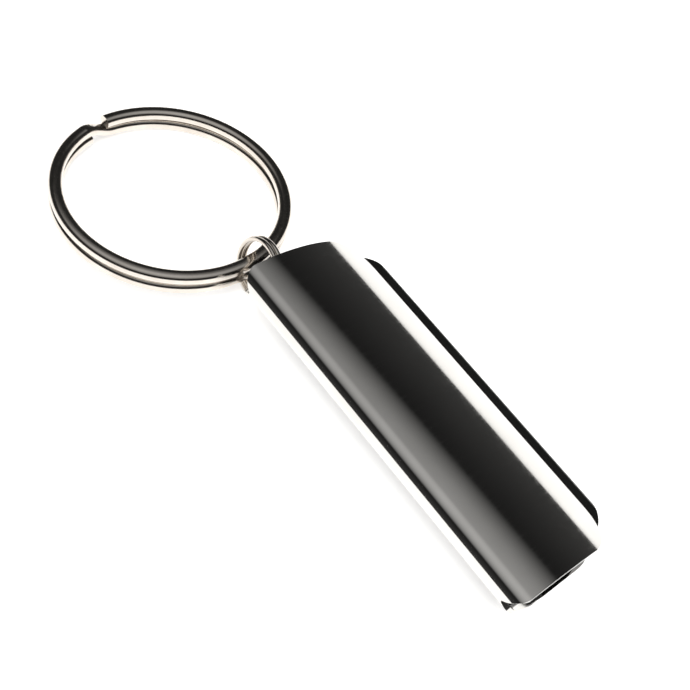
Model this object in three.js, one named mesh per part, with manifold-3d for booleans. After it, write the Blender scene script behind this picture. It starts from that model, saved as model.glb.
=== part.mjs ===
// Keychain flashlight: a bent steel sleeve round a moulded light core, worked by a long press bar
// along its open side, and hung on two split rings. Millimetres, +Z up.
// +X runs along the sleeve from the key rings to the lamp; the origin is the middle of the resting face.
import * as THREE from "three";
import { mergeVertices } from "three/addons/utils/BufferGeometryUtils.js";
import Module from "manifold-3d";

const wasm = await Module();
wasm.setup();

// ---- Driving dimensions ----
// Sleeve: one sheet, folded round a small nose on the left, with both free edges on the right
const bodyLength = 56;
const sheetWall = 0.7;
const crownHeight = 10.3; // top of the sleeve over the resting face
const crownRadius = 29;
const crownY = -9; // where the crown is highest, over the nose
const noseRadius = 2.3;
const underAngle = THREE.MathUtils.degToRad(38); // of the under leaf's slope, from upright
const baseRadius = 1.8; // bend between the sloping under leaf and the flat base
const edgeReach = 9.9; // y of the crown leaf's free edge
const lipReach = 8.6; // y of the base leaf's free edge
const edgeCorner = 5.5; // plan radius of the corners on the open side
const noseCorner = 2.2; // plan radius of the corners on the folded side

// Light core, moulded in two halves that part on a tilted plane
const coreClear = 0.15; // core to sleeve
const coreEndGap = 1.8; // core set back from each end of the sleeve
const coreReach = 7.4; // y of the core's face towards the press bar
const splitGap = 0.1; // between the two core halves
const coreTilt = THREE.MathUtils.degToRad(-18); // coin cells and parting plane lie along the crown
const stackY = 0.2;
const stackZ = 4.7;

// Press bar
const barTravel = 0.5;
const barSlack = 0.1; // left between bar and core when the bar is home
const barMouth = 9.4; // y where the bar's top leaves the sleeve
const barReach = 12.45; // y of the bar's nose
const barNose = 0.95;
const barFloor = 0.45; // underside of the nose over the table
const barCorner = 5;

// Coin cells
const cellDiameter = 12.5;
const cellHeight = 2;
const cellStep = 0.2; // rounding of the can, and rise of its cap
const cellRim = 0.9; // can's rim round the cap
const cellClear = 0.2;
const cellGap = 0.8; // between the two cells
const contactWall = 0.25;
const contactClear = 0.05;
const contactWidth = 3;
const contactRise = 0.2; // return strip over the front cell's strip

// Lamp end
const lampY = -3;
const lampZ = 5;
const windowDiameter = 5.4;
const windowThick = 0.8;
const windowRecess = 0.3;
const sealThick = 0.4;
const sealWidth = 0.45;
const boreClear = 0.1;
const reflectorLength = 4.2;
const reflectorThroat = 3.4;
const reflectorLip = 0.25;
const ledDiameter = 3;
const ledLength = 4.3;
const ledFlange = 0.3;
const ledFlangeThick = 0.8;
const ledReach = 0.75; // dome through the reflector's throat
const leadReach = 1.2; // leads stand out behind the lamp
const leadWidth = 0.5;
const leadSpacing = 1.27;
const leadShift = 0.35; // leads step over towards the board

// Circuit board and switch
const boardLength = 10;
const boardThick = 0.8;
const boardLift = 0.85; // board underside over the core's underside
const boardLeft = -3.4;
const boardRight = 5.3;
const boardUnderLamp = 3.2; // board reaches this far in front of the lamp's back
const boardContact = 0.8; // contact strips lie on this much of the board's back end
const solderGap = 0.03; // under the parts soldered to the board
const switchInset = 1.4; // from the board's front edge
const switchLength = 5;
const switchDepth = 3.2;
const switchHeight = 1.8;
const plungerLength = 1.2; // standing out of the switch
const plungerRoot = 0.5; // inside the switch
const plungerClear = 0.1;
const plungerWidth = 2.2;
const plungerHeight = 0.8;
const plungerLift = 0.35; // plunger's underside over the board
const plungerGap = 0.05; // lost motion between bar and plunger
const resistorLength = 1.6;
const resistorWidth = 0.8;
const resistorHeight = 0.5;
const resistorInset = 1; // from the board's two edges

// Return springs, screws and pin
const springDiameter = 1.6;
const springWire = 0.3;
const springTurns = 5;
const springDepth = 2.6; // of the blind hole in the core
const springZ = 2.35;
const springClear = 0.1;
const rearSpringInset = 5.7; // from the core's ends
const frontSpringInset = 3.7;
const screwShank = 1.2;
const screwHead = 2.2;
const screwHeadHeight = 0.8;
const screwClear = 0.12;
const screwSink = 0.5; // head below the lid's surface
const rearScrewInset = 5.8; // from the core's ends
const rearScrewY = -2.5;
const frontScrewInset = 3.6;
const frontScrewY = 3.2;
const pinDiameter = 1.2;
const pinClear = 0.05;
const pinHeight = 2.4;
const pinInset = 7.2; // from the core's end
const pinY = 2.3;

// Split rings: two full turns of flat wire each
const bigRingDiameter = 35;
const bigWireWidth = 2;
const bigWireHeight = 1.7;
const smallRingDiameter = 9.2;
const smallWireWidth = 0.75;
const smallWireHeight = 0.75;
const turnGap = 0.06; // between the two turns of a ring
const ringEndGap = THREE.MathUtils.degToRad(14); // left out of each turn
const ringRamp = THREE.MathUtils.degToRad(18); // climb from one turn to the other
const smallRingAxis = new THREE.Vector3(-0.094, -0.954, 0.284).normalize();
const smallRingPlay = 0.85; // between the small ring and its pin
const smallRingY = -5.76;
const smallRingLift = 0.2; // over the table
const smallRingSplit = THREE.MathUtils.degToRad(170); // turns its split round to the hidden side
const bigRingAxis = new THREE.Vector3(-0.048, 0.074, 1).normalize(); // leans on the small ring
const bigRingPlay = 2.5; // from the small ring's inside to the middle of the big ring's wire
const bigRingY = -8.35;
const tableGap = 0.03; // under the big ring's lowest point
const ringPinDiameter = 0.8; // pin across the sleeve's corner, which the small ring hangs on
const ringPinInset = 0.5; // pin's middle in from the sleeve's end
const ringPinFootY = -5;
const ringPinHeadY = -7;
const cornerCut = 2.7; // under leaf cut back at the ring end, to let the small ring round
const cornerCutRight = -5.5;
const cornerCutTop = 6.3;
const ringNotch = 4.8; // core cut back from the sleeve's end for the small ring
const ringNotchRight = 2;

// Cutting
const room = 0.2; // free space round the parts in the core
const lap = 0.1; // cutters go this far past the faces that they open

// ---- Helpers ----
const yAxis = new THREE.Vector3(0, 1, 0);
const zAxis = new THREE.Vector3(0, 0, 1);
const alongX = new THREE.Matrix4().makeBasis(
  new THREE.Vector3(0, 1, 0),
  new THREE.Vector3(0, 0, 1),
  new THREE.Vector3(1, 0, 0),
);

function toSolid(geometry) {
  const bare = geometry.clone();
  bare.deleteAttribute("normal");
  bare.deleteAttribute("uv");
  const merged = mergeVertices(bare, 1e-4);
  return new wasm.Manifold(
    new wasm.Mesh({
      numProp: 3,
      vertProperties: new Float32Array(merged.attributes.position.array),
      triVerts: new Uint32Array(merged.index.array),
    }),
  );
}

function toGeometry(solid) {
  const mesh = solid.getMesh();
  const geometry = new THREE.BufferGeometry();
  geometry.setAttribute("position", new THREE.BufferAttribute(mesh.vertProperties, 3));
  geometry.setIndex(new THREE.BufferAttribute(mesh.triVerts, 1));
  geometry.computeVertexNormals();
  return geometry;
}

// A prism along X from x0 to x1, its section given as (y, z) points.
function prismX(points, x0, x1) {
  const geometry = new THREE.ExtrudeGeometry(new THREE.Shape(points), {
    depth: x1 - x0,
    bevelEnabled: false,
  });
  return geometry.applyMatrix4(alongX).translate(x0, 0, 0);
}

// A prism along Z, its outline given as a shape in (x, y).
function prismZ(shape, z0, z1) {
  const options = { depth: z1 - z0, bevelEnabled: false, curveSegments: 8 };
  return new THREE.ExtrudeGeometry(shape, options).translate(0, 0, z0);
}

function box(x0, x1, y0, y1, z0, z1) {
  const geometry = new THREE.BoxGeometry(x1 - x0, y1 - y0, z1 - z0);
  return geometry.translate((x0 + x1) / 2, (y0 + y1) / 2, (z0 + z1) / 2);
}

function cylinderX(radius, x0, x1, y, z, sides = 24) {
  const geometry = new THREE.CylinderGeometry(radius, radius, x1 - x0, sides);
  return geometry.rotateZ(-Math.PI / 2).translate((x0 + x1) / 2, y, z);
}

function cylinderY(radius, y0, y1, x, z, sides = 16) {
  const geometry = new THREE.CylinderGeometry(radius, radius, y1 - y0, sides);
  return geometry.translate(x, (y0 + y1) / 2, z);
}

function cylinderZ(radius, z0, z1, x, y, sides = 16) {
  const geometry = new THREE.CylinderGeometry(radius, radius, z1 - z0, sides);
  return geometry.rotateX(Math.PI / 2).translate(x, y, (z0 + z1) / 2);
}

// Puts a geometry made round the cell stack's own axes (x along, y across, z up) in its tilted place.
function inStack(geometry) {
  return geometry.rotateX(coreTilt).translate(0, stackY, stackZ);
}

function cutAll(geometry, cutters) {
  return cutters.reduce((solid, cutter) => solid.subtract(toSolid(cutter)), toSolid(geometry));
}

// ---- Sections ----
const crownZ = crownHeight - crownRadius; // centre of the crown's arc
const noseZ = crownHeight - noseRadius;
const underDirection = -Math.PI / 2 - (Math.PI / 2 - underAngle); // outward normal of the under leaf
const underY = Math.cos(underDirection);
const underZ = Math.sin(underDirection);
const baseY =
  crownY + (underZ * (noseZ - baseRadius) - (baseRadius - noseRadius)) / underY;

function arc(y, z, radius, from, to, steps) {
  const points = [];
  for (let i = 0; i <= steps; i++) {
    const angle = from + ((to - from) * i) / steps;
    points.push(new THREE.Vector2(y + radius * Math.cos(angle), z + radius * Math.sin(angle)));
  }
  return points;
}

// The sleeve's outside line from the crown's free edge round to the base lip, moved in by inset.
function sleeveLine(inset, crownEnd, lipEnd) {
  return [
    ...arc(crownY, crownZ, crownRadius - inset, crownEnd, Math.PI / 2, 18),
    ...arc(crownY, noseZ, noseRadius - inset, Math.PI / 2, Math.PI * 2 + underDirection, 8).slice(1),
    ...arc(baseY, baseRadius, baseRadius - inset, Math.PI * 2 + underDirection, Math.PI * 1.5, 4),
    new THREE.Vector2(lipEnd, inset),
  ];
}

// Angle on the crown's arc, at a radius smaller by inset, that lies over a given y.
function crownAngle(y, inset) {
  return Math.acos((y - crownY) / (crownRadius - inset));
}

function crownAt(y, inset) {
  return crownZ + (crownRadius - inset) * Math.sin(crownAngle(y, inset));
}

function planOutline(half, left, right, leftCorner, rightCorner) {
  const shape = new THREE.Shape();
  shape.moveTo(-half + leftCorner, left);
  shape.lineTo(half - leftCorner, left);
  shape.absarc(half - leftCorner, left + leftCorner, leftCorner, -Math.PI / 2, 0, false);
  shape.lineTo(half, right - rightCorner);
  shape.absarc(half - rightCorner, right - rightCorner, rightCorner, 0, Math.PI / 2, false);
  shape.lineTo(-half + rightCorner, right);
  shape.absarc(-half + rightCorner, right - rightCorner, rightCorner, Math.PI / 2, Math.PI, false);
  shape.lineTo(-half, left + leftCorner);
  shape.absarc(-half + leftCorner, left + leftCorner, leftCorner, Math.PI, Math.PI * 1.5, false);
  return shape;
}

// ---- Places ----
const bodyHalf = bodyLength / 2;
const coreHalf = bodyHalf - coreEndGap;
const coreInset = sheetWall + coreClear;
const noseEdge = crownY - noseRadius;
const cutReach = bodyLength; // long enough for any cutter to pass right through

const windowFront = coreHalf - windowRecess;
const windowBack = windowFront - windowThick;
const sealBack = windowBack - sealThick;
const reflectorBack = sealBack - reflectorLength;
const ledFront = reflectorBack + ledReach;
const ledBack = ledFront - ledLength;
const boreRadius = windowDiameter / 2 + boreClear;

const boardFront = ledBack + boardUnderLamp;
const boardBack = boardFront - boardLength;
const boardBottom = coreInset + boardLift;
const boardTop = boardBottom + boardThick;
const switchFront = boardFront - switchInset;
const switchBack = switchFront - switchLength;
const switchY = boardRight - switchDepth;
const switchMiddle = (switchFront + switchBack) / 2;
const plungerBottom = boardTop + plungerLift;
const plungerFace = boardRight + plungerLength;

const pocketRadius = cellDiameter / 2 + cellClear;
const frontCellX = boardBack - room - boardContact + cellClear - pocketRadius;
const rearCellX = frontCellX - cellDiameter - cellGap;
const stackBottom = -cellHeight / 2 - contactClear - contactWall;
const stackTop = cellHeight / 2 + contactClear + contactWall;
const contactHalf = contactWidth / 2;
const contactFront = boardBack + boardContact - cellClear;
const returnBottom = stackTop + contactRise;
const returnTop = returnBottom + contactWall;

// The small ring runs behind its pin, over and under the big ring's wire, and out past the nose.
const smallRingReach = smallRingDiameter / 2;
const smallRingPlace = new THREE.Vector3(
  -bodyHalf + ringPinInset + ringPinDiameter / 2 + smallRingPlay + smallWireWidth - smallRingReach,
  smallRingY,
  smallRingLift +
    smallRingReach * Math.hypot(smallRingAxis.x, smallRingAxis.y) +
    (smallWireHeight + turnGap / 2) * smallRingAxis.z,
);
const bigRingLink = smallRingReach - smallWireWidth - bigRingPlay; // beyond the small ring's middle
const bigRingPlace = new THREE.Vector3(
  smallRingPlace.x - bigRingLink - (bigRingDiameter - bigWireWidth) / 2,
  bigRingY,
  tableGap +
    (bigRingDiameter / 2) * Math.hypot(bigRingAxis.x, bigRingAxis.y) +
    (bigWireHeight + turnGap / 2) * bigRingAxis.z,
);

const barBack = coreReach + barTravel + barSlack;
const rearSpringX = -coreHalf + rearSpringInset;
const frontSpringX = coreHalf - frontSpringInset;
const springBack = coreReach - springDepth;
const rearScrew = new THREE.Vector2(-coreHalf + rearScrewInset, rearScrewY);
const frontScrew = new THREE.Vector2(coreHalf - frontScrewInset, frontScrewY);
const pinPlace = new THREE.Vector2(-coreHalf + pinInset, pinY);

// ---- Sleeve ----
function makeSleeve() {
  const edgeAngle = crownAngle(edgeReach, 0);
  const outside = sleeveLine(0, edgeAngle, lipReach);
  const inside = sleeveLine(sheetWall, edgeAngle, lipReach);
  const sheet = prismX([...outside, ...inside.reverse()], -bodyHalf, bodyHalf);
  const outline = planOutline(bodyHalf, noseEdge, edgeReach, noseCorner, edgeCorner);
  const plan = prismZ(outline, -lap, crownHeight + lap);
  const corner = box(-cutReach, -bodyHalf + cornerCut, -cutReach, cornerCutRight, -lap, cornerCutTop);
  const pinHole = cylinderZ(pinDiameter / 2 + pinClear, -lap, sheetWall + lap, pinPlace.x, pinPlace.y);
  return toSolid(sheet).intersect(toSolid(plan)).subtract(toSolid(corner)).subtract(toSolid(pinHole));
}

// ---- Core halves ----
const screws = [rearScrew, frontScrew].map((place) => {
  const head = crownAt(place.y, coreInset) - screwSink;
  return { place, head, seat: head - screwHeadHeight };
});

function corePockets() {
  const cellPocket = (x) =>
    inStack(
      new THREE.CylinderGeometry(pocketRadius, pocketRadius, stackTop - stackBottom + 2 * lap, 32)
        .rotateX(Math.PI / 2)
        .translate(x, 0, 0),
    );
  const linkSlot = inStack(
    box(
      rearCellX,
      frontCellX,
      -contactHalf - room,
      contactHalf + room,
      stackBottom - lap,
      -cellHeight / 2 + lap,
    ),
  );
  const returnSlot = inStack(
    box(
      rearCellX - contactHalf - room,
      contactFront + room,
      -contactHalf - room,
      contactHalf + room,
      0,
      returnTop + lap,
    ),
  );
  const boardPocket = box(
    boardBack - room,
    boardFront + room,
    boardLeft - room,
    boardRight + room,
    boardBottom - lap,
    boardTop + switchHeight + room,
  );
  const switchDoor = box(
    switchBack - room,
    switchFront + room,
    boardRight,
    coreReach + lap,
    boardTop + lap,
    boardTop + switchHeight - lap,
  );
  const lampBore = cylinderX(boreRadius, reflectorBack - lap, bodyHalf, lampY, lampZ, 32);
  const ledBore = cylinderX(
    ledDiameter / 2 + ledFlange + boreClear,
    ledBack - leadReach - room,
    reflectorBack,
    lampY,
    lampZ,
  );
  const notch = box(-cutReach, -bodyHalf + ringNotch, -cutReach, ringNotchRight, -lap, crownHeight);
  const springHoles = [rearSpringX, frontSpringX].map((x) =>
    cylinderY(springDiameter / 2 + springClear, springBack, coreReach + lap, x, springZ),
  );
  const screwHoles = screws.flatMap(({ place, seat, head }) => [
    cylinderZ(screwHead / 2 + screwClear, seat - pinClear, crownHeight, place.x, place.y),
    cylinderZ(screwShank / 2 + pinClear, boardBottom - lap, head, place.x, place.y),
  ]);
  const pinHole = cylinderZ(pinDiameter / 2 + pinClear, -lap, pinHeight + lap, pinPlace.x, pinPlace.y);
  return [
    cellPocket(frontCellX),
    cellPocket(rearCellX),
    linkSlot,
    returnSlot,
    boardPocket,
    switchDoor,
    lampBore,
    ledBore,
    notch,
    ...springHoles,
    ...screwHoles,
    pinHole,
  ];
}

function makeCore() {
  const line = sleeveLine(coreInset, crownAngle(coreReach, coreInset), coreReach);
  const block = prismX(line, -coreHalf, coreHalf);
  const core = cutAll(block, corePockets());
  const partingZ = -cellHeight / 2;
  const above = inStack(box(-cutReach, cutReach, -cutReach, cutReach, partingZ + splitGap / 2, cutReach));
  const below = inStack(box(-cutReach, cutReach, -cutReach, cutReach, -cutReach, partingZ - splitGap / 2));
  return { lid: core.intersect(toSolid(above)), tray: core.intersect(toSolid(below)) };
}

// ---- Press bar ----
function makePressBar() {
  const inset = coreInset;
  const noseY = barReach - barNose;
  const mouth = crownAngle(barMouth, inset);
  const pusherFace = plungerFace + plungerGap;
  const step = lipReach + barTravel + barSlack; // nose drops over the lip, clear of it when pressed
  const section = [
    ...arc(crownY, crownZ, crownRadius - inset, mouth, crownAngle(pusherFace, inset), 7),
    new THREE.Vector2(pusherFace, inset),
    new THREE.Vector2(step, inset),
    new THREE.Vector2(step + inset - barFloor, barFloor),
    ...arc(noseY, barFloor + barNose, barNose, -Math.PI / 2, Math.PI / 2, 10),
  ];
  const blank = toSolid(prismX(section, -coreHalf, coreHalf));
  const outline = prismZ(planOutline(coreHalf, 0, barReach, lap, barCorner), -lap, crownHeight);
  const rail = box(-coreHalf, coreHalf, barBack, barReach, 0, crownHeight);
  const pusher = box(
    switchMiddle - plungerWidth / 2,
    switchMiddle + plungerWidth / 2,
    pusherFace,
    barBack + lap,
    plungerBottom,
    plungerBottom + plungerHeight,
  );
  return blank.intersect(toSolid(outline)).intersect(toSolid(rail).add(toSolid(pusher)));
}

// ---- Small mechanical pieces ----
class CoilCurve extends THREE.Curve {
  constructor(radius, pitch, turns) {
    super();
    this.radius = radius;
    this.pitch = pitch;
    this.turns = turns;
  }
  getPoint(t, target = new THREE.Vector3()) {
    const angle = t * this.turns * Math.PI * 2;
    return target.set(
      this.radius * Math.cos(angle),
      t * this.turns * this.pitch,
      this.radius * Math.sin(angle),
    );
  }
}

function ngon(radius, sides) {
  return arc(0, 0, radius, 0, Math.PI * 2 * (1 - 1 / sides), sides - 1);
}

function makeSpring(x) {
  const length = barBack - springBack - springWire - 2 * pinClear;
  const curve = new CoilCurve((springDiameter - springWire) / 2, length / springTurns, springTurns);
  const geometry = new THREE.ExtrudeGeometry(new THREE.Shape(ngon(springWire / 2, 6)), {
    steps: springTurns * 10,
    extrudePath: curve,
  });
  return toSolid(geometry.translate(x, springBack + springWire / 2 + pinClear, springZ));
}

function makeScrew({ place, seat, head }) {
  const shank = cylinderZ(screwShank / 2, boardBottom + lap, seat + lap, place.x, place.y);
  const cap = cylinderZ(screwHead / 2, seat, head, place.x, place.y);
  const slotDepth = screwHeadHeight / 2;
  const slot = box(
    place.x - screwHead,
    place.x + screwHead,
    place.y - screwHead / 8,
    place.y + screwHead / 8,
    head - slotDepth,
    head + lap,
  );
  return toSolid(shank).add(toSolid(cap)).subtract(toSolid(slot));
}

// Leans from the base leaf to the crown, cut off just inside the sheet.
function makeRingPin() {
  const foot = new THREE.Vector3(-bodyHalf + ringPinInset, ringPinFootY, 0);
  const head = new THREE.Vector3(foot.x, ringPinHeadY, crownHeight);
  const lean = head.clone().sub(foot);
  const geometry = new THREE.CylinderGeometry(ringPinDiameter / 2, ringPinDiameter / 2, lean.length(), 14);
  geometry.applyQuaternion(new THREE.Quaternion().setFromUnitVectors(yAxis, lean.normalize()));
  geometry.translate(...foot.add(head).multiplyScalar(0.5));
  const inside = sleeveLine(sheetWall + pinClear, crownAngle(edgeReach, 0), lipReach);
  return toSolid(geometry).intersect(toSolid(prismX(inside, -cutReach, cutReach)));
}

// ---- Switch ----
function plungerBox(clear, y0, y1) {
  const half = plungerWidth / 2 + clear;
  const top = plungerBottom + plungerHeight + clear;
  return box(switchMiddle - half, switchMiddle + half, y0, y1, plungerBottom - clear, top);
}

function makeSwitchBody() {
  const top = boardTop + switchHeight;
  const body = box(switchBack, switchFront, switchY, boardRight, boardTop + solderGap, top);
  const bore = plungerBox(plungerClear, boardRight - plungerRoot - barTravel - room, boardRight + lap);
  return cutAll(body, [bore]);
}

// ---- Lamp ----
function revolveX(profile, sides = 32) {
  const points = profile.map(([x, r]) => new THREE.Vector2(r, x));
  return new THREE.LatheGeometry(points, sides).rotateZ(-Math.PI / 2).translate(0, lampY, lampZ);
}

function makeReflector() {
  const outer = windowDiameter / 2;
  return toSolid(
    revolveX([
      [reflectorBack, reflectorThroat / 2],
      [reflectorBack, outer],
      [sealBack, outer],
      [sealBack, outer - reflectorLip],
      [reflectorBack + reflectorLip, reflectorThroat / 2],
      [reflectorBack, reflectorThroat / 2],
    ]),
  );
}

function makeLed() {
  const r = ledDiameter / 2;
  const dome = arc(0, 0, r, 0, Math.PI / 2, 6).map(({ x, y }) => [ledFront - r + y, Math.abs(x)]);
  dome.at(-1)[1] = 0;
  return toSolid(
    revolveX([
      [ledBack, 0],
      [ledBack, r + ledFlange],
      [ledBack + ledFlangeThick, r + ledFlange],
      [ledBack + ledFlangeThick, r],
      ...dome,
    ], 20),
  );
}

function makeLead(side) {
  const y = lampY + (side * leadSpacing) / 2 + leadShift;
  const x0 = ledBack - leadReach;
  const leg = box(x0, ledBack - solderGap, y - leadWidth / 2, y + leadWidth / 2, lampZ - leadWidth, lampZ);
  const foot = box(x0, x0 + leadWidth, y - leadWidth / 2, y + leadWidth / 2, boardTop + solderGap, lampZ);
  return toSolid(leg).add(toSolid(foot));
}

// ---- Cells and contacts ----
function makeCell(x, up) {
  const r = cellDiameter / 2;
  const h = (cellHeight / 2) * up;
  const step = cellStep * up;
  // the can is the wide side; the cap on the other face is smaller
  const profile = [
    [0, -h],
    [r - cellStep, -h],
    [r, -h + step],
    [r, h - step * 2],
    [r - cellRim, h - step],
    [r - cellRim, h],
    [0, h],
  ].map(([radius, z]) => new THREE.Vector2(radius, z));
  const points = up > 0 ? profile : profile.reverse();
  const lathe = new THREE.LatheGeometry(points, 32).rotateX(Math.PI / 2);
  return toSolid(inStack(lathe.translate(x, 0, 0)));
}

function makeCellLink() {
  const top = -cellHeight / 2 - contactClear;
  const strip = box(rearCellX + room, frontCellX - room, -contactHalf, contactHalf, top - contactWall, top);
  return toSolid(inStack(strip));
}

function makePositiveContact() {
  const bottom = cellHeight / 2 + contactClear;
  return toSolid(
    inStack(
      box(frontCellX - contactHalf, contactFront, -contactHalf, contactHalf, bottom, bottom + contactWall),
    ),
  );
}

function makeNegativeContact() {
  const bottom = cellHeight / 2 + contactClear;
  const back = rearCellX - contactHalf;
  const strip = box(back, contactFront, -contactHalf, contactHalf, returnBottom, returnTop);
  const foot = box(back, back + contactWidth, -contactHalf, contactHalf, bottom, returnBottom + lap);
  return toSolid(inStack(strip)).add(toSolid(inStack(foot)));
}

// ---- Split rings ----
// Flat wire wound two full turns: one level, a short ramp at the split, then the level above.
class SplitRingCurve extends THREE.Curve {
  constructor(radius, rise) {
    super();
    this.radius = radius;
    this.rise = rise;
  }
  getPoint(t, target = new THREE.Vector3()) {
    const lap = 1 - ringEndGap / (Math.PI * 2); // of each level, in turns
    const turn = t * (lap * 2 + ringRamp / (Math.PI * 2));
    const climbed = THREE.MathUtils.smoothstep(turn, lap, lap + ringRamp / (Math.PI * 2));
    const angle = Math.PI + ringEndGap + turn * Math.PI * 2;
    return target.set(
      this.radius * Math.cos(angle),
      this.radius * Math.sin(angle),
      this.rise * (climbed - 0.5),
    );
  }
}

function makeSplitRing(diameter, width, height, steps) {
  const curve = new SplitRingCurve((diameter - width) / 2, height + turnGap);
  const section = new THREE.Shape([
    new THREE.Vector2(-height / 2, -width / 2),
    new THREE.Vector2(height / 2, -width / 2),
    new THREE.Vector2(height / 2, width / 2),
    new THREE.Vector2(-height / 2, width / 2),
  ]);
  return new THREE.ExtrudeGeometry(section, { steps, extrudePath: curve, bevelEnabled: false });
}

// ---- Assembly ----
const model = new THREE.Group();

function addPiece(name, geometry, color, roughness, metalness, parent = model) {
  const material = new THREE.MeshStandardMaterial({ color, roughness, metalness });
  const mesh = new THREE.Mesh(geometry, material);
  mesh.name = name;
  parent.add(mesh);
  return mesh;
}

function addSolid(name, solid, color, roughness, metalness) {
  return addPiece(name, toGeometry(solid), color, roughness, metalness);
}

const steel = 0xb9b7b2;
const blackPlastic = 0x1c1c1a;
const nickel = 0xd8d4cf;
const zinc = 0xa9adb0;
const core = makeCore();

addSolid("steel_sleeve", makeSleeve(), steel, 0.25, 1);
addSolid("core_tray", core.tray, blackPlastic, 0.55, 0);
addSolid("core_lid", core.lid, blackPlastic, 0.55, 0);
addSolid("press_bar", makePressBar(), blackPlastic, 0.45, 0);
addSolid("return_spring_rear", makeSpring(rearSpringX), zinc, 0.3, 1);
addSolid("return_spring_front", makeSpring(frontSpringX), zinc, 0.3, 1);

addPiece(
  "circuit_board",
  box(boardBack, boardFront, boardLeft, boardRight, boardBottom, boardTop),
  0x1f5b34,
  0.5,
  0,
);
addSolid("switch_body", makeSwitchBody(), 0x2a2a2a, 0.5, 0);
addPiece("switch_plunger", plungerBox(0, boardRight - plungerRoot, plungerFace), 0xe8e4da, 0.5, 0);
addPiece(
  "resistor",
  box(
    boardBack + resistorInset,
    boardBack + resistorInset + resistorLength,
    boardLeft + resistorInset,
    boardLeft + resistorInset + resistorWidth,
    boardTop + solderGap,
    boardTop + resistorHeight,
  ),
  0x15171a,
  0.4,
  0,
);

addSolid("led", makeLed(), 0xf2f1e6, 0.1, 0);
addSolid("led_lead_anode", makeLead(1), zinc, 0.3, 1);
addSolid("led_lead_cathode", makeLead(-1), zinc, 0.3, 1);
addSolid("reflector", makeReflector(), 0xe6e8ea, 0.08, 1);
addSolid(
  "window_seal",
  toSolid(
    revolveX([
      [sealBack + solderGap, windowDiameter / 2 - sealWidth],
      [sealBack + solderGap, windowDiameter / 2],
      [windowBack - solderGap, windowDiameter / 2],
      [windowBack - solderGap, windowDiameter / 2 - sealWidth],
      [sealBack + solderGap, windowDiameter / 2 - sealWidth],
    ]),
  ),
  0x111111,
  0.8,
  0,
);
addPiece(
  "lens_window",
  cylinderX(windowDiameter / 2, windowBack, windowFront, lampY, lampZ, 32),
  0xf4f8fa,
  0.05,
  0,
);

addSolid("coin_cell_front", makeCell(frontCellX, -1), 0xc9c9c6, 0.25, 1);
addSolid("coin_cell_rear", makeCell(rearCellX, 1), 0xc9c9c6, 0.25, 1);
addSolid("cell_link", makeCellLink(), nickel, 0.3, 1);
addSolid("positive_contact", makePositiveContact(), nickel, 0.3, 1);
addSolid("negative_contact", makeNegativeContact(), nickel, 0.3, 1);

addSolid("lid_screw_rear", makeScrew(screws[0]), zinc, 0.35, 1);
addSolid("lid_screw_front", makeScrew(screws[1]), zinc, 0.35, 1);
addPiece(
  "retaining_pin",
  cylinderZ(pinDiameter / 2, pinClear, pinHeight, pinPlace.x, pinPlace.y),
  zinc,
  0.35,
  1,
);

addSolid("ring_pin", makeRingPin(), nickel, 0.3, 1);

function addRing(name, geometry, place, axis, spin) {
  const ring = addPiece(name, geometry, nickel, 0.12, 1);
  ring.position.copy(place);
  ring.quaternion.setFromUnitVectors(zAxis, axis);
  ring.rotateZ(spin);
}
addRing(
  "small_split_ring",
  makeSplitRing(smallRingDiameter, smallWireWidth, smallWireHeight, 110),
  smallRingPlace,
  smallRingAxis,
  smallRingSplit,
);
addRing(
  "big_split_ring",
  makeSplitRing(bigRingDiameter, bigWireWidth, bigWireHeight, 150),
  bigRingPlace,
  bigRingAxis,
  0,
);

export default model;
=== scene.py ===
import math

import bmesh
import bpy
from mathutils import Matrix, Vector


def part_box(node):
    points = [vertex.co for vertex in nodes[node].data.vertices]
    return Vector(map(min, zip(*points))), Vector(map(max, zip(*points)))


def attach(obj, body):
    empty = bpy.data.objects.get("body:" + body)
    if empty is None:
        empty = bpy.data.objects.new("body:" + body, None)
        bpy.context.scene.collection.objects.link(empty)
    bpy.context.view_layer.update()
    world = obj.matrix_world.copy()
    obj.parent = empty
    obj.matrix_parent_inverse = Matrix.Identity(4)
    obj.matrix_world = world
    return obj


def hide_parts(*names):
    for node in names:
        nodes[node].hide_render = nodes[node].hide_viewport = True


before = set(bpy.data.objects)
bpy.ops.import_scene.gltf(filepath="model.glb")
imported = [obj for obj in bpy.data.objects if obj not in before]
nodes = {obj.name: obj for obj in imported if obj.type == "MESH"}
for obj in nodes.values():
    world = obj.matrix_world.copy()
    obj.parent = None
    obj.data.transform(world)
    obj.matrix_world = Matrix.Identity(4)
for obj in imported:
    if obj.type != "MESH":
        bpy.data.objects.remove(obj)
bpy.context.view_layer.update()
mm = 0.001
weld = 0.002 * mm  # points closer than this are one
up = Vector((0, 0, 1))

def linear(hexColour):
    # sRGB hex to the linear colour that the shaders take
    parts = [int(hexColour[i:i + 2], 16) / 255 for i in (1, 3, 5)]
    flat = [p / 12.92 if p <= 0.04045 else ((p + 0.055) / 1.055) ** 2.4 for p in parts]
    return (*flat, 1)


def addNode(tree, kind, inputs=None, **settings):
    made = tree.nodes.new(kind)
    for name, value in settings.items():
        setattr(made, name, value)
    for name, value in (inputs or {}).items():
        if isinstance(value, bpy.types.NodeSocket):
            tree.links.new(value, made.inputs[name])
        else:
            made.inputs[name].default_value = value
    return made


def boxMiddle(name):
    low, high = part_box(name)
    return (low + high) / 2


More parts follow.
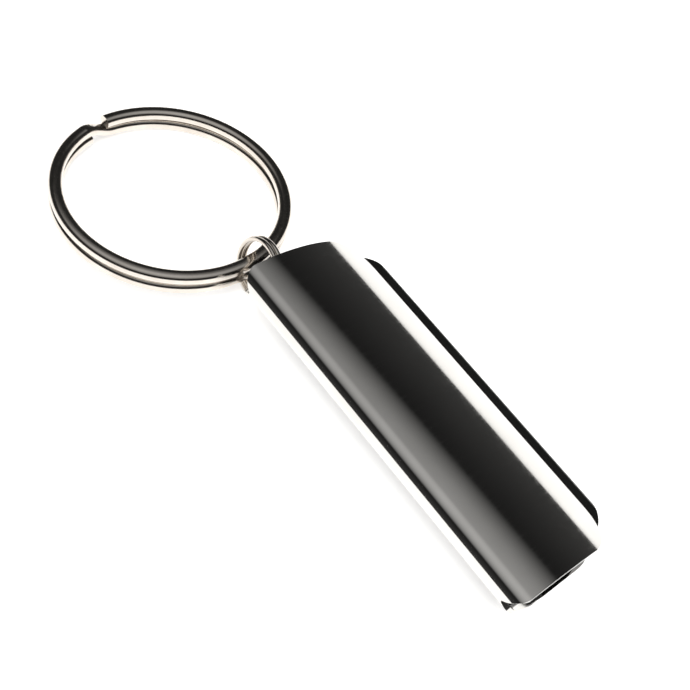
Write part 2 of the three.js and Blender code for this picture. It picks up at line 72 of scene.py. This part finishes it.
def finishMesh(bm, name, smoothAngle):
    # closes up a bmesh as an object at the origin, its faces outwards
    bmesh.ops.remove_doubles(bm, verts=bm.verts, dist=weld)
    bmesh.ops.recalc_face_normals(bm, faces=bm.faces)
    mesh = bpy.data.meshes.new(name)
    bm.to_mesh(mesh)
    bm.free()
    piece = bpy.data.objects.new(name, mesh)
    bpy.context.scene.collection.objects.link(piece)
    mesh.shade_smooth()
    mesh.set_sharp_from_angle(angle=math.radians(smoothAngle))
    return piece


def addBevel(piece, width, segments, angle):
    bevel = piece.modifiers.new("edgeBreak", "BEVEL")
    bevel.width = width * mm
    bevel.segments = segments
    bevel.limit_method = "ANGLE"
    bevel.angle_limit = math.radians(angle)
    bevel.harden_normals = True


def settle(piece):
    # bakes the modifiers into the mesh
    graph = bpy.context.evaluated_depsgraph_get()
    mesh = bpy.data.meshes.new_from_object(piece.evaluated_get(graph))
    piece.modifiers.clear()
    piece.data = mesh


def standFor(piece, body, slotName, material, *cadNodes):
    piece.data.materials.clear()
    piece.data.materials.append(material)
    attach(piece, body)
    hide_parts(*cadNodes)

noiseSpan = (0.3, 0.7)  # where nearly all of a noise's values lie


def grainMaterial(name, look):
    # a finish with a broad tone change, a fine grain in gloss and relief, and its own stretch
    material = bpy.data.materials.new(name)
    material.use_nodes = True
    tree = material.node_tree
    surface = tree.nodes["Principled BSDF"]
    place = addNode(tree, "ShaderNodeTexCoord").outputs["Object"]
    # grain size along x, y and z in millimetres
    perMetre = [1 / (size * mm) for size in look["grain"]]
    fineScale = addNode(tree, "ShaderNodeMapping", {"Vector": place, "Scale": perMetre})
    fine = addNode(
        tree, "ShaderNodeTexNoise", {"Vector": fineScale.outputs["Vector"], "Scale": 1, "Detail": 3},
    )
    broad = addNode(
        tree, "ShaderNodeTexNoise",
        {"Vector": place, "Scale": 1 / (look["cloud"] * mm), "Detail": 4, "Roughness": 0.6},
    )
    ramp = addNode(tree, "ShaderNodeValToRGB", {"Fac": broad.outputs["Fac"]})
    for stop, at, tone in zip(ramp.color_ramp.elements, noiseSpan, ("dark", "light")):
        stop.position = at
        stop.color = linear(look[tone])
    low, high = look["roughness"]
    gloss = addNode(tree, "ShaderNodeMapRange", {
        "Value": fine.outputs["Fac"], "From Min": noiseSpan[0], "From Max": noiseSpan[1],
        "To Min": low, "To Max": high,
    })
    relief = addNode(tree, "ShaderNodeBump", {
        "Height": fine.outputs["Fac"], "Strength": look["relief"], "Distance": look["depth"] * mm,
    })
    tree.links.new(ramp.outputs["Color"], surface.inputs["Base Color"])
    tree.links.new(gloss.outputs["Result"], surface.inputs["Roughness"])
    tree.links.new(relief.outputs["Normal"], surface.inputs["Normal"])
    surface.inputs["Metallic"].default_value = look["metallic"]
    for socket, value in look.get("surface", {}).items():
        surface.inputs[socket].default_value = value
    return material


# Stainless sheet, rolled bright and brushed round the sleeve: reflections stay sharp across the
# brush lines and smear along the sleeve.
steelLook = dict(
    dark="#D3D1CD", light="#DEDCD8", cloud=14, grain=(0.09, 7, 7), roughness=(0.03, 0.09),
    relief=0.07, depth=0.002, metallic=1, surface={"Anisotropic": 0.8},
)
# Black ABS, moulded with a fine spark texture: dull grey sheen, no mirror
coreLook = dict(
    dark="#1A1A18", light="#222220", cloud=6, grain=(0.16, 0.16, 0.16), roughness=(0.42, 0.56),
    relief=0.25, depth=0.01, metallic=0, surface={"IOR": 1.5},
)
# Black ABS polished by handling: a closer, darker sheen along its rounded edge
barLook = dict(
    dark="#0E0E0D", light="#171716", cloud=9, grain=(0.22, 0.12, 0.12), roughness=(0.26, 0.36),
    relief=0.14, depth=0.008, metallic=0, surface={"IOR": 1.5},
)
# Bright nickel over steel wire, tumbled smooth: nearly a mirror, a little warm
nickelLook = dict(
    dark="#CFC7BE", light="#DED8D0", cloud=5, grain=(0.35, 0.35, 0.35), roughness=(0.1, 0.18),
    relief=0.05, depth=0.004, metallic=1,
)
# Zinc plate on wire and small screws: grey-blue, soft, without a mirror
zincLook = dict(
    dark="#9FA4A8", light="#B9BDC0", cloud=2, grain=(0.1, 0.1, 0.1), roughness=(0.25, 0.4),
    relief=0.1, depth=0.004, metallic=1,
)
# Stainless can drawn in a press: faint long lines round a pale, silky face
canLook = dict(
    dark="#C2C2BE", light="#D2D2CE", cloud=5, grain=(0.08, 2, 2), roughness=(0.2, 0.32),
    relief=0.1, depth=0.004, metallic=1,
)
# Green solder mask over the board: a wet gloss with slow ripples
boardLook = dict(
    dark="#174A28", light="#1F5E35", cloud=1.2, grain=(0.4, 0.4, 0.4), roughness=(0.2, 0.35),
    relief=0.2, depth=0.02, metallic=0, surface={"IOR": 1.5},
)
# Black nylon of the switch: flat and slightly grainy beside the glossy board
switchLook = dict(
    dark="#242424", light="#2E2E2D", cloud=2, grain=(0.12, 0.12, 0.12), roughness=(0.4, 0.55),
    relief=0.2, depth=0.008, metallic=0, surface={"IOR": 1.5},
)
# White nylon plunger: warm off-white with a low sheen
plungerLook = dict(
    dark="#DDD8CC", light="#E9E5DB", cloud=1, grain=(0.12, 0.12, 0.12), roughness=(0.35, 0.5),
    relief=0.15, depth=0.006, metallic=0, surface={"IOR": 1.5},
)
# Glazed ceramic: near black with a tight highlight
ceramicLook = dict(
    dark="#0E1012", light="#1A1C1F", cloud=0.6, grain=(0.1, 0.1, 0.1), roughness=(0.2, 0.35),
    relief=0.15, depth=0.006, metallic=0, surface={"IOR": 1.6},
)
# Clear cast epoxy: milky and glassy, a little warm
epoxyLook = dict(
    dark="#F4F2E4", light="#FBFAF0", cloud=1.5, grain=(0.5, 0.5, 0.5), roughness=(0.03, 0.08),
    relief=0.03, depth=0.004, metallic=0, surface={"IOR": 1.54, "Transmission Weight": 0.75},
)
# Vacuum plated bowl: a cool, bright mirror round the lamp
mirrorLook = dict(
    dark="#DDE0E3", light="#E8EAEC", cloud=3, grain=(0.6, 0.6, 0.6), roughness=(0.03, 0.08),
    relief=0.04, depth=0.004, metallic=1,
)
# Seal rubber: the dullest black at the lamp end, which rings the window
rubberLook = dict(
    dark="#0D0D0D", light="#161616", cloud=1, grain=(0.08, 0.08, 0.08), roughness=(0.7, 0.85),
    relief=0.3, depth=0.01, metallic=0, surface={"IOR": 1.5},
)
# Clear polycarbonate: a colourless window with a faint moulded ripple
windowLook = dict(
    dark="#F0F5F7", light="#F8FBFC", cloud=3, grain=(0.6, 0.6, 0.6), roughness=(0.02, 0.05),
    relief=0.02, depth=0.003, metallic=0, surface={"IOR": 1.586, "Transmission Weight": 1},
)

brushedStainless = grainMaterial("brushedStainless", steelLook)
mouldedAbs = grainMaterial("mouldedAbs", coreLook)
handledAbs = grainMaterial("handledAbs", barLook)
brightNickel = grainMaterial("brightNickel", nickelLook)
zincPlate = grainMaterial("zincPlate", zincLook)
drawnCan = grainMaterial("drawnCan", canLook)
solderMask = grainMaterial("solderMask", boardLook)
switchNylon = grainMaterial("switchNylon", switchLook)
plungerNylon = grainMaterial("plungerNylon", plungerLook)
glazedCeramic = grainMaterial("glazedCeramic", ceramicLook)
castEpoxy = grainMaterial("castEpoxy", epoxyLook)
vacuumMirror = grainMaterial("vacuumMirror", mirrorLook)
sealRubber = grainMaterial("sealRubber", rubberLook)
clearPolycarbonate = grainMaterial("clearPolycarbonate", windowLook)

steelTree = brushedStainless.node_tree
brushTangent = addNode(steelTree, "ShaderNodeTangent", direction_type="UV_MAP", uv_map="brushWay")
steelSurface = steelTree.nodes["Principled BSDF"]
steelTree.links.new(brushTangent.outputs["Tangent"], steelSurface.inputs["Tangent"])
print("materials ready")

sleeve = dict(
    wall=0.7, crownHeight=10.3, crownRadius=29, crownY=-9, noseRadius=2.3, underAngle=38, baseRadius=1.8,
    edgeReach=9.9, lipReach=8.6, edgeCorner=5.5, noseCorner=2.2,
    cornerCut=2.7, cornerCutRight=-5.5, cornerCutTop=6.3, edgeBreak=0.07, breakAngle=50,
    cornerLength=4.5,  # of the base leaf's free edge, where its plan corners are rounded
    crownSteps=120, noseSteps=48, slopeSteps=4, baseSteps=14, leafSteps=3, cornerSteps=14,
    pinHole=1.3, pinHoleDepth=3, pinHoleSteps=48,
    brushMiddle=4,  # height of the line that the brush lines run round
)


def spinPoint(bm, start, middle, angle, steps):
    # sweeps a point round the x axis through middle, leaving a chain of edges
    swept = bmesh.ops.spin(
        bm, geom=[start], cent=(0, *middle), axis=(1, 0, 0), dvec=(0, 0, 0), angle=angle, steps=steps,
    )
    return next(v for v in swept["geom_last"] if isinstance(v, bmesh.types.BMVert))


def drawPoint(bm, start, step, count):
    for _ in range(count):
        grown = bmesh.ops.extrude_vert_indiv(bm, verts=[start])
        start = grown["verts"][0]
        start.co += step / count
    return start


def planHalf(y, half, left, right, leftCorner, rightCorner):
    # half length of the outline at a given y, with its corners rounded
    if y > right - rightCorner:
        across = min(y - right + rightCorner, rightCorner)
        return half - rightCorner + math.sqrt(max(rightCorner ** 2 - across ** 2, 0))
    if y < left + leftCorner:
        across = min(left + leftCorner - y, leftCorner)
        return half - leftCorner + math.sqrt(max(leftCorner ** 2 - across ** 2, 0))
    return half


def makeSleeve(size):
    low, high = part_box("steel_sleeve")
    half = high.x
    crown = Vector((size["crownY"], size["crownHeight"] - size["crownRadius"])) * mm
    nose = Vector((size["crownY"], size["crownHeight"] - size["noseRadius"])) * mm
    under = math.radians(90 + 90 - size["underAngle"])  # turn of the nose, from the crown's top to the slope
    slope = Vector((-math.sin(under), math.cos(under)))
    # the base bend sits where its circle touches the slope and the table
    drop = slope.y * (nose.y / mm - size["baseRadius"]) - (size["baseRadius"] - size["noseRadius"])
    base = Vector((size["crownY"] + drop / slope.x, size["baseRadius"])) * mm

    bm = bmesh.new()
    edgeAngle = math.asin((size["edgeReach"] - size["crownY"]) / size["crownRadius"])
    radius = size["crownRadius"] * mm
    start = Vector((0, crown.x + radius * math.sin(edgeAngle), crown.y + radius * math.cos(edgeAngle)))
    point = bm.verts.new(start)
    point = spinPoint(bm, point, crown, edgeAngle, size["crownSteps"])
    point = spinPoint(bm, point, nose, under, size["noseSteps"])
    slopeStart = point.co.copy()
    slopeEnd = Vector((0, base.x, base.y)) + Vector((0, slope.x, slope.y)) * size["baseRadius"] * mm
    point = drawPoint(bm, point, slopeEnd - slopeStart, size["slopeSteps"])
    point = spinPoint(bm, point, base, math.pi - under, size["baseSteps"])
    straight = (size["lipReach"] - size["cornerLength"]) * mm - point.co.y
    point = drawPoint(bm, point, Vector((0, straight, 0)), size["leafSteps"])
    point = drawPoint(bm, point, Vector((0, size["lipReach"] * mm - point.co.y, 0)), size["cornerSteps"])

    chain = list(bm.edges)
    grown = bmesh.ops.extrude_edge_only(bm, edges=chain)
    farSide = {v for v in grown["geom"] if isinstance(v, bmesh.types.BMVert)}
    for v in bm.verts:
        reach = planHalf(
            v.co.y, half, low.y, size["edgeReach"] * mm, size["noseCorner"] * mm, size["edgeCorner"] * mm,
        )
        v.co.x = reach if v in farSide else -reach

    # the under leaf is cut back at the ring end, to let the small ring round
    planes = [
        (Vector((-half + size["cornerCut"] * mm, 0, 0)), Vector((1, 0, 0))),
        (Vector((0, size["cornerCutRight"] * mm, 0)), Vector((0, 1, 0))),
        (Vector((0, 0, size["cornerCutTop"] * mm)), up),
    ]
    for spot, normal in planes:
        bmesh.ops.bisect_plane(
            bm, geom=[*bm.verts, *bm.edges, *bm.faces], dist=0.05 * weld, plane_co=spot, plane_no=normal,
        )
    cut = [
        f for f in bm.faces
        if all((f.calc_center_median() - spot).dot(normal) < 0 for spot, normal in planes)
    ]
    bmesh.ops.delete(bm, geom=cut, context="FACES")

    bmesh.ops.recalc_face_normals(bm, faces=bm.faces)
    highest = max(bm.faces, key=lambda f: f.calc_center_median().z)
    if highest.normal.z < 0:
        bmesh.ops.reverse_faces(bm, faces=bm.faces)
    mesh = bpy.data.meshes.new("sleeve")
    bm.to_mesh(mesh)
    bm.free()
    piece = bpy.data.objects.new("sleeve", mesh)
    bpy.context.scene.collection.objects.link(piece)
    mesh.shade_smooth()
    thick = piece.modifiers.new("sheet", "SOLIDIFY")
    thick.thickness = size["wall"] * mm
    thick.offset = -1
    thick.use_even_offset = True
    addBevel(piece, size["edgeBreak"], 2, size["breakAngle"])

    # hole in the base for the retaining pin
    pin = boxMiddle("retaining_pin")
    radius = size["pinHole"] / 2 * mm
    holeMesh = bmesh.new()
    bmesh.ops.create_cone(
        holeMesh, cap_ends=True, segments=size["pinHoleSteps"], radius1=radius, radius2=radius,
        depth=size["pinHoleDepth"] * mm, matrix=Matrix.Translation((pin.x, pin.y, 0)),
    )
    cutter = finishMesh(holeMesh, "holeCutter", 40)
    hole = piece.modifiers.new("pinHole", "BOOLEAN")
    hole.operation = "DIFFERENCE"
    hole.object = cutter
    settle(piece)
    bpy.data.objects.remove(cutter)

    # the brush lines run round the sleeve: u goes round it, v along it
    layer = piece.data.uv_layers.new(name="brushWay")
    middle = size["brushMiddle"] * mm
    for loop in piece.data.loops:
        co = piece.data.vertices[loop.vertex_index].co
        layer.data[loop.index].uv = (math.atan2(co.y, co.z - middle) / math.pi, co.x / half)
    return piece


standFor(makeSleeve(sleeve), "light_body", "sleeve_steel", brushedStainless, "steel_sleeve")
print("sleeve made")

# edge breaks in millimetres, and the bevel's steps
plasticEdges = dict(
    press_bar=dict(name="pressBar", width=0.18, segments=3),
    core_tray=dict(name="coreTray", width=0.05, segments=2),
    core_lid=dict(name="coreLid", width=0.05, segments=2),
)
flatAngle = 0.8  # facets that turn less than this are one flat face


def soften(cadNode, name, width, segments):
    bm = bmesh.new()
    bm.from_mesh(nodes[cadNode].data)
    bmesh.ops.remove_doubles(bm, verts=bm.verts, dist=weld / 2)
    bmesh.ops.dissolve_limit(bm, angle_limit=math.radians(flatAngle), verts=bm.verts, edges=bm.edges)
    piece = finishMesh(bm, name, 35)
    addBevel(piece, width, segments, 40)
    settle(piece)
    return piece


pressBar = soften("press_bar", **plasticEdges["press_bar"])
standFor(pressBar, "press_bar", "bar_plastic", handledAbs, "press_bar")
for half in ("core_tray", "core_lid"):
    standFor(soften(half, **plasticEdges[half]), "light_body", "core_plastic", mouldedAbs, half)
print("plastic pieces made")

bigRing = dict(
    node="big_split_ring", body="big_ring", diameter=35, width=2, height=1.7, gap=0.06, corner=0.72,
    axis=(-0.048, 0.074, 1), split=0, steps=150,
)
smallRing = dict(
    node="small_split_ring", body="small_ring", diameter=9.2, width=0.75, height=0.75, gap=0.06,
    corner=0.3, axis=(-0.094, -0.954, 0.284), split=170, steps=90,
)
# degrees left out of each turn, and of the climb between the two
ringEnds = dict(endGap=14, ramp=18, rampSteps=12, cornerSteps=5)


def makeSplitRing(name, size, ends):
    bm = bmesh.new()
    middle = (size["diameter"] - size["width"]) / 2 * mm
    rise = (size["height"] + size["gap"]) * mm
    bmesh.ops.create_grid(bm, x_segments=1, y_segments=1, size=0.5)
    bmesh.ops.scale(bm, verts=bm.verts, vec=(size["width"] * mm, size["height"] * mm, 1))
    bmesh.ops.bevel(
        bm, geom=bm.verts, offset=size["corner"] * mm, segments=ends["cornerSteps"],
        affect="VERTICES", profile=0.5, material=-1,
    )
    # stand the section up on the ring, at the start of the lower turn
    bmesh.ops.rotate(bm, verts=bm.verts, cent=(0, 0, 0), matrix=Matrix.Rotation(math.pi / 2, 3, "X"))
    bmesh.ops.translate(bm, verts=bm.verts, vec=(middle, 0, -rise / 2))
    begin = math.pi + math.radians(ends["endGap"])
    bmesh.ops.rotate(bm, verts=bm.verts, cent=(0, 0, 0), matrix=Matrix.Rotation(begin, 3, "Z"))
    section = list(bm.faces)
    turn = math.radians(360 - ends["endGap"])
    ramp = math.radians(ends["ramp"]) / ends["rampSteps"]
    climb = [t * t * (3 - 2 * t) for t in (i / ends["rampSteps"] for i in range(ends["rampSteps"] + 1))]
    runs = [(turn, size["steps"], 0)]
    runs += [(ramp, 1, rise * (b - a)) for a, b in zip(climb, climb[1:])]
    runs += [(turn, size["steps"], 0)]
    front = section
    for angle, steps, lift in runs:
        swept = bmesh.ops.spin(
            bm, geom=front, cent=(0, 0, 0), axis=(0, 0, 1), dvec=(0, 0, lift), angle=angle, steps=steps,
        )
        front = [g for g in swept["geom_last"] if isinstance(g, bmesh.types.BMFace)]
    place = up.rotation_difference(Vector(size["axis"]).normalized()).to_matrix().to_4x4()
    place = Matrix.Translation(boxMiddle(size["node"])) @ place
    place = place @ Matrix.Rotation(math.radians(size["split"]), 4, "Z")
    bmesh.ops.transform(bm, matrix=place, verts=bm.verts)
    return finishMesh(bm, name, 40)


for name, size in (("bigSplitRing", bigRing), ("smallSplitRing", smallRing)):
    piece = makeSplitRing(name, size, ringEnds)
    standFor(piece, size["body"], "ring_nickel", brightNickel, size["node"])
print("split rings made")

lamp = dict(
    windowSag=0.12, windowBreak=0.08, windowSteps=10, sealWidth=0.45, sealRound=0.12,
    mirrorThroat=3.4, mirrorLip=0.25, mirrorRim=0.12, mirrorSteps=24,
    domeRadius=1.5, domeSteps=12, flangeThick=0.8, flangeBreak=0.1, steps=72,
)


def turnProfile(name, cadNode, profile, steps):
    # spins points of (along, out), in millimetres from the back of the node's box, round its middle
    low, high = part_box(cadNode)
    middle = (low + high) / 2
    bm = bmesh.new()
    points = [bm.verts.new((low.x + x * mm, middle.y, middle.z + out * mm)) for x, out in profile]
    edges = [bm.edges.new(pair) for pair in zip(points, points[1:])]
    if profile[0][1] > 0 and profile[-1][1] > 0:
        edges.append(bm.edges.new((points[-1], points[0])))
    bmesh.ops.spin(
        bm, geom=points + edges, cent=middle, axis=(1, 0, 0), dvec=(0, 0, 0),
        angle=math.tau, steps=steps, use_merge=True,
    )
    return finishMesh(bm, name, 30)


def reachOf(cadNode):
    low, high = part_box(cadNode)
    return (high.x - low.x) / mm, (high.z - low.z) / mm / 2


def makeWindow(size):
    long, radius = reachOf("lens_window")
    sag = size["windowSag"]
    edge = size["windowBreak"]
    parts = [i / size["windowSteps"] for i in range(size["windowSteps"] + 1)]
    dome = [(long - sag * part ** 2, (radius - edge) * part) for part in parts]
    return turnProfile("lensWindow", "lens_window", [
        (0, 0), (0, radius - edge), (edge, radius), (long - sag - edge, radius), *reversed(dome),
    ], size["steps"])


def makeSeal(size):
    long, radius = reachOf("window_seal")
    inner = radius - size["sealWidth"]
    edge = size["sealRound"]
    return turnProfile("windowSeal", "window_seal", [
        (0, inner), (0, radius - edge), (edge, radius), (long - edge, radius), (long, radius - edge),
        (long, inner + edge / 2), (long - edge / 2, inner),
    ], size["steps"])


def makeMirror(size):
    # parabolic bowl, from the throat round the lamp to the rim behind the window
    long, radius = reachOf("reflector")
    throat = size["mirrorThroat"] / 2
    rim = radius - size["mirrorRim"]
    lip = size["mirrorLip"]
    bowl = []
    for i in range(size["mirrorSteps"] + 1):
        out = throat + (rim - throat) * i / size["mirrorSteps"]
        bowl.append((lip + (long - lip) * (out ** 2 - throat ** 2) / (rim ** 2 - throat ** 2), out))
    return turnProfile("reflectorBowl", "reflector", [
        (long, radius), (0, radius), (0, throat), *bowl,
    ], size["steps"])


def makeLamp(size):
    long, wide = reachOf("led")
    radius = size["domeRadius"]
    edge = size["flangeBreak"]
    flange = size["flangeThick"]
    turns = [i * math.pi / 2 / size["domeSteps"] for i in range(size["domeSteps"])]
    dome = [(long - radius + radius * math.sin(a), radius * math.cos(a)) for a in turns]
    return turnProfile("lampEpoxy", "led", [
        (0, 0), (0, wide - edge), (edge, wide), (flange - edge, wide),
        (flange, wide - edge), (flange, radius), *dome, (long, 0),
    ], size["steps"])


standFor(makeWindow(lamp), "light_body", "window_clear", clearPolycarbonate, "lens_window")
standFor(makeSeal(lamp), "light_body", "seal_rubber", sealRubber, "window_seal")
standFor(makeMirror(lamp), "light_body", "reflector_metal", vacuumMirror, "reflector")
standFor(makeLamp(lamp), "light_body", "led_epoxy", castEpoxy, "led")
print("lamp parts made")


keptFinish = {
    zincPlate: ["return_spring_rear", "return_spring_front", "led_lead_anode", "led_lead_cathode",
                "lid_screw_rear", "lid_screw_front", "retaining_pin"],
    brightNickel: ["cell_link", "positive_contact", "negative_contact", "ring_pin"],
    drawnCan: ["coin_cell_front", "coin_cell_rear"],
    solderMask: ["circuit_board"],
    switchNylon: ["switch_body"],
    plungerNylon: ["switch_plunger"],
    glazedCeramic: ["resistor"],
}
for material, names in keptFinish.items():
    for name in names:
        mesh = nodes[name].data
        if mesh.materials:
            mesh.materials[0] = material
        else:
            mesh.materials.append(material)
print("kept solids finished")

def makeFloor():
    mesh = bpy.data.meshes.new("floor")
    bm = bmesh.new()
    bmesh.ops.create_grid(bm, x_segments=1, y_segments=1, size=2)
    bm.to_mesh(mesh)
    bm.free()
    floor = bpy.data.objects.new("floor", mesh)
    bpy.context.scene.collection.objects.link(floor)
    material = bpy.data.materials.new("paleTable")
    material.use_nodes = True
    surface = material.node_tree.nodes["Principled BSDF"]
    surface.inputs["Base Color"].default_value = linear("#F4F3F1")
    surface.inputs["Roughness"].default_value = 0.9
    surface.inputs["Specular IOR Level"].default_value = 0.1
    surface.inputs["Emission Color"].default_value = linear("#FFFFFF")
    surface.inputs["Emission Strength"].default_value = 0.55
    mesh.materials.append(material)


# Plain studio: one soft light overhead with dim walls round it. Heights go from -1, straight down,
# over 0, level, to 1, straight up, and the greys are round neutral values.
studioTones = [(-1, "#404040"), (0, "#404040"), (0.65, "#202020"), (0.8, "#909090"), (1, "#C0C0C0")]
studioBackdrop = "#FAFAFA"


def makeWorld(tones, backdrop):
    world = bpy.data.worlds.new("room")
    bpy.context.scene.world = world
    world.use_nodes = True
    tree = world.node_tree
    way = addNode(tree, "ShaderNodeTexCoord").outputs["Generated"]
    parts = addNode(tree, "ShaderNodeSeparateXYZ", {"Vector": way})
    height = addNode(tree, "ShaderNodeMapRange", {"Value": parts.outputs["Z"], "From Min": -1, "From Max": 1})
    ramp = addNode(tree, "ShaderNodeValToRGB", {"Fac": height.outputs["Result"]})
    stops = ramp.color_ramp.elements
    while len(stops) < len(tones):
        stops.new(0.5)
    for stop, (at, tone) in zip(stops, tones):
        stop.position = (at + 1) / 2
        stop.color = linear(tone)
    room = tree.nodes["Background"]
    tree.links.new(ramp.outputs["Color"], room.inputs["Color"])
    pale = addNode(tree, "ShaderNodeBackground", {"Color": linear(backdrop)})
    seen = addNode(tree, "ShaderNodeLightPath")
    both = addNode(tree, "ShaderNodeMixShader")
    tree.links.new(seen.outputs["Is Camera Ray"], both.inputs[0])
    tree.links.new(room.outputs["Background"], both.inputs[1])
    tree.links.new(pale.outputs["Background"], both.inputs[2])
    tree.links.new(both.outputs["Shader"], tree.nodes["World Output"].inputs["Surface"])


def makeLight(name, place, size, power, towards=(0, 0, 0), glossy=False):
    data = bpy.data.lights.new(name, "AREA")
    data.shape = "DISK"
    data.size = size
    data.energy = power
    light = bpy.data.objects.new(name, data)
    light.location = place
    light.rotation_euler = (Vector(place) - Vector(towards)).to_track_quat("Z", "Y").to_euler()
    light.visible_glossy = glossy
    bpy.context.scene.collection.objects.link(light)


camera = dict(azimuth=33.7, elevation=54.5, roll=21.5, lens=57.4, distance=155.9, target=(-15.66, -0.32, 0))


def makeCamera(view):
    turn, rise, roll = (math.radians(view[k]) for k in ("azimuth", "elevation", "roll"))
    back = Vector((math.sin(turn) * math.cos(rise), -math.cos(turn) * math.cos(rise), math.sin(rise)))
    level = Vector((math.cos(turn), math.sin(turn), 0))
    upright = back.cross(level)
    right = math.cos(roll) * level + math.sin(roll) * upright
    top = -math.sin(roll) * level + math.cos(roll) * upright
    data = bpy.data.cameras.new("view")
    data.sensor_width = 36
    data.lens = view["lens"]
    data.clip_start = 0.005
    eye = bpy.data.objects.new("view", data)
    eye.location = Vector(view["target"]) * mm + back * view["distance"] * mm
    eye.rotation_euler = Matrix((right, top, back)).transposed().to_euler()
    bpy.context.scene.collection.objects.link(eye)
    bpy.context.scene.camera = eye


makeFloor()
makeWorld(studioTones, studioBackdrop)
makeLight("softBox", (0.1, -0.15, 0.6), 0.6, 4.2)
makeCamera(camera)
bpy.context.scene.view_settings.view_transform = "Standard"
print("stage set")
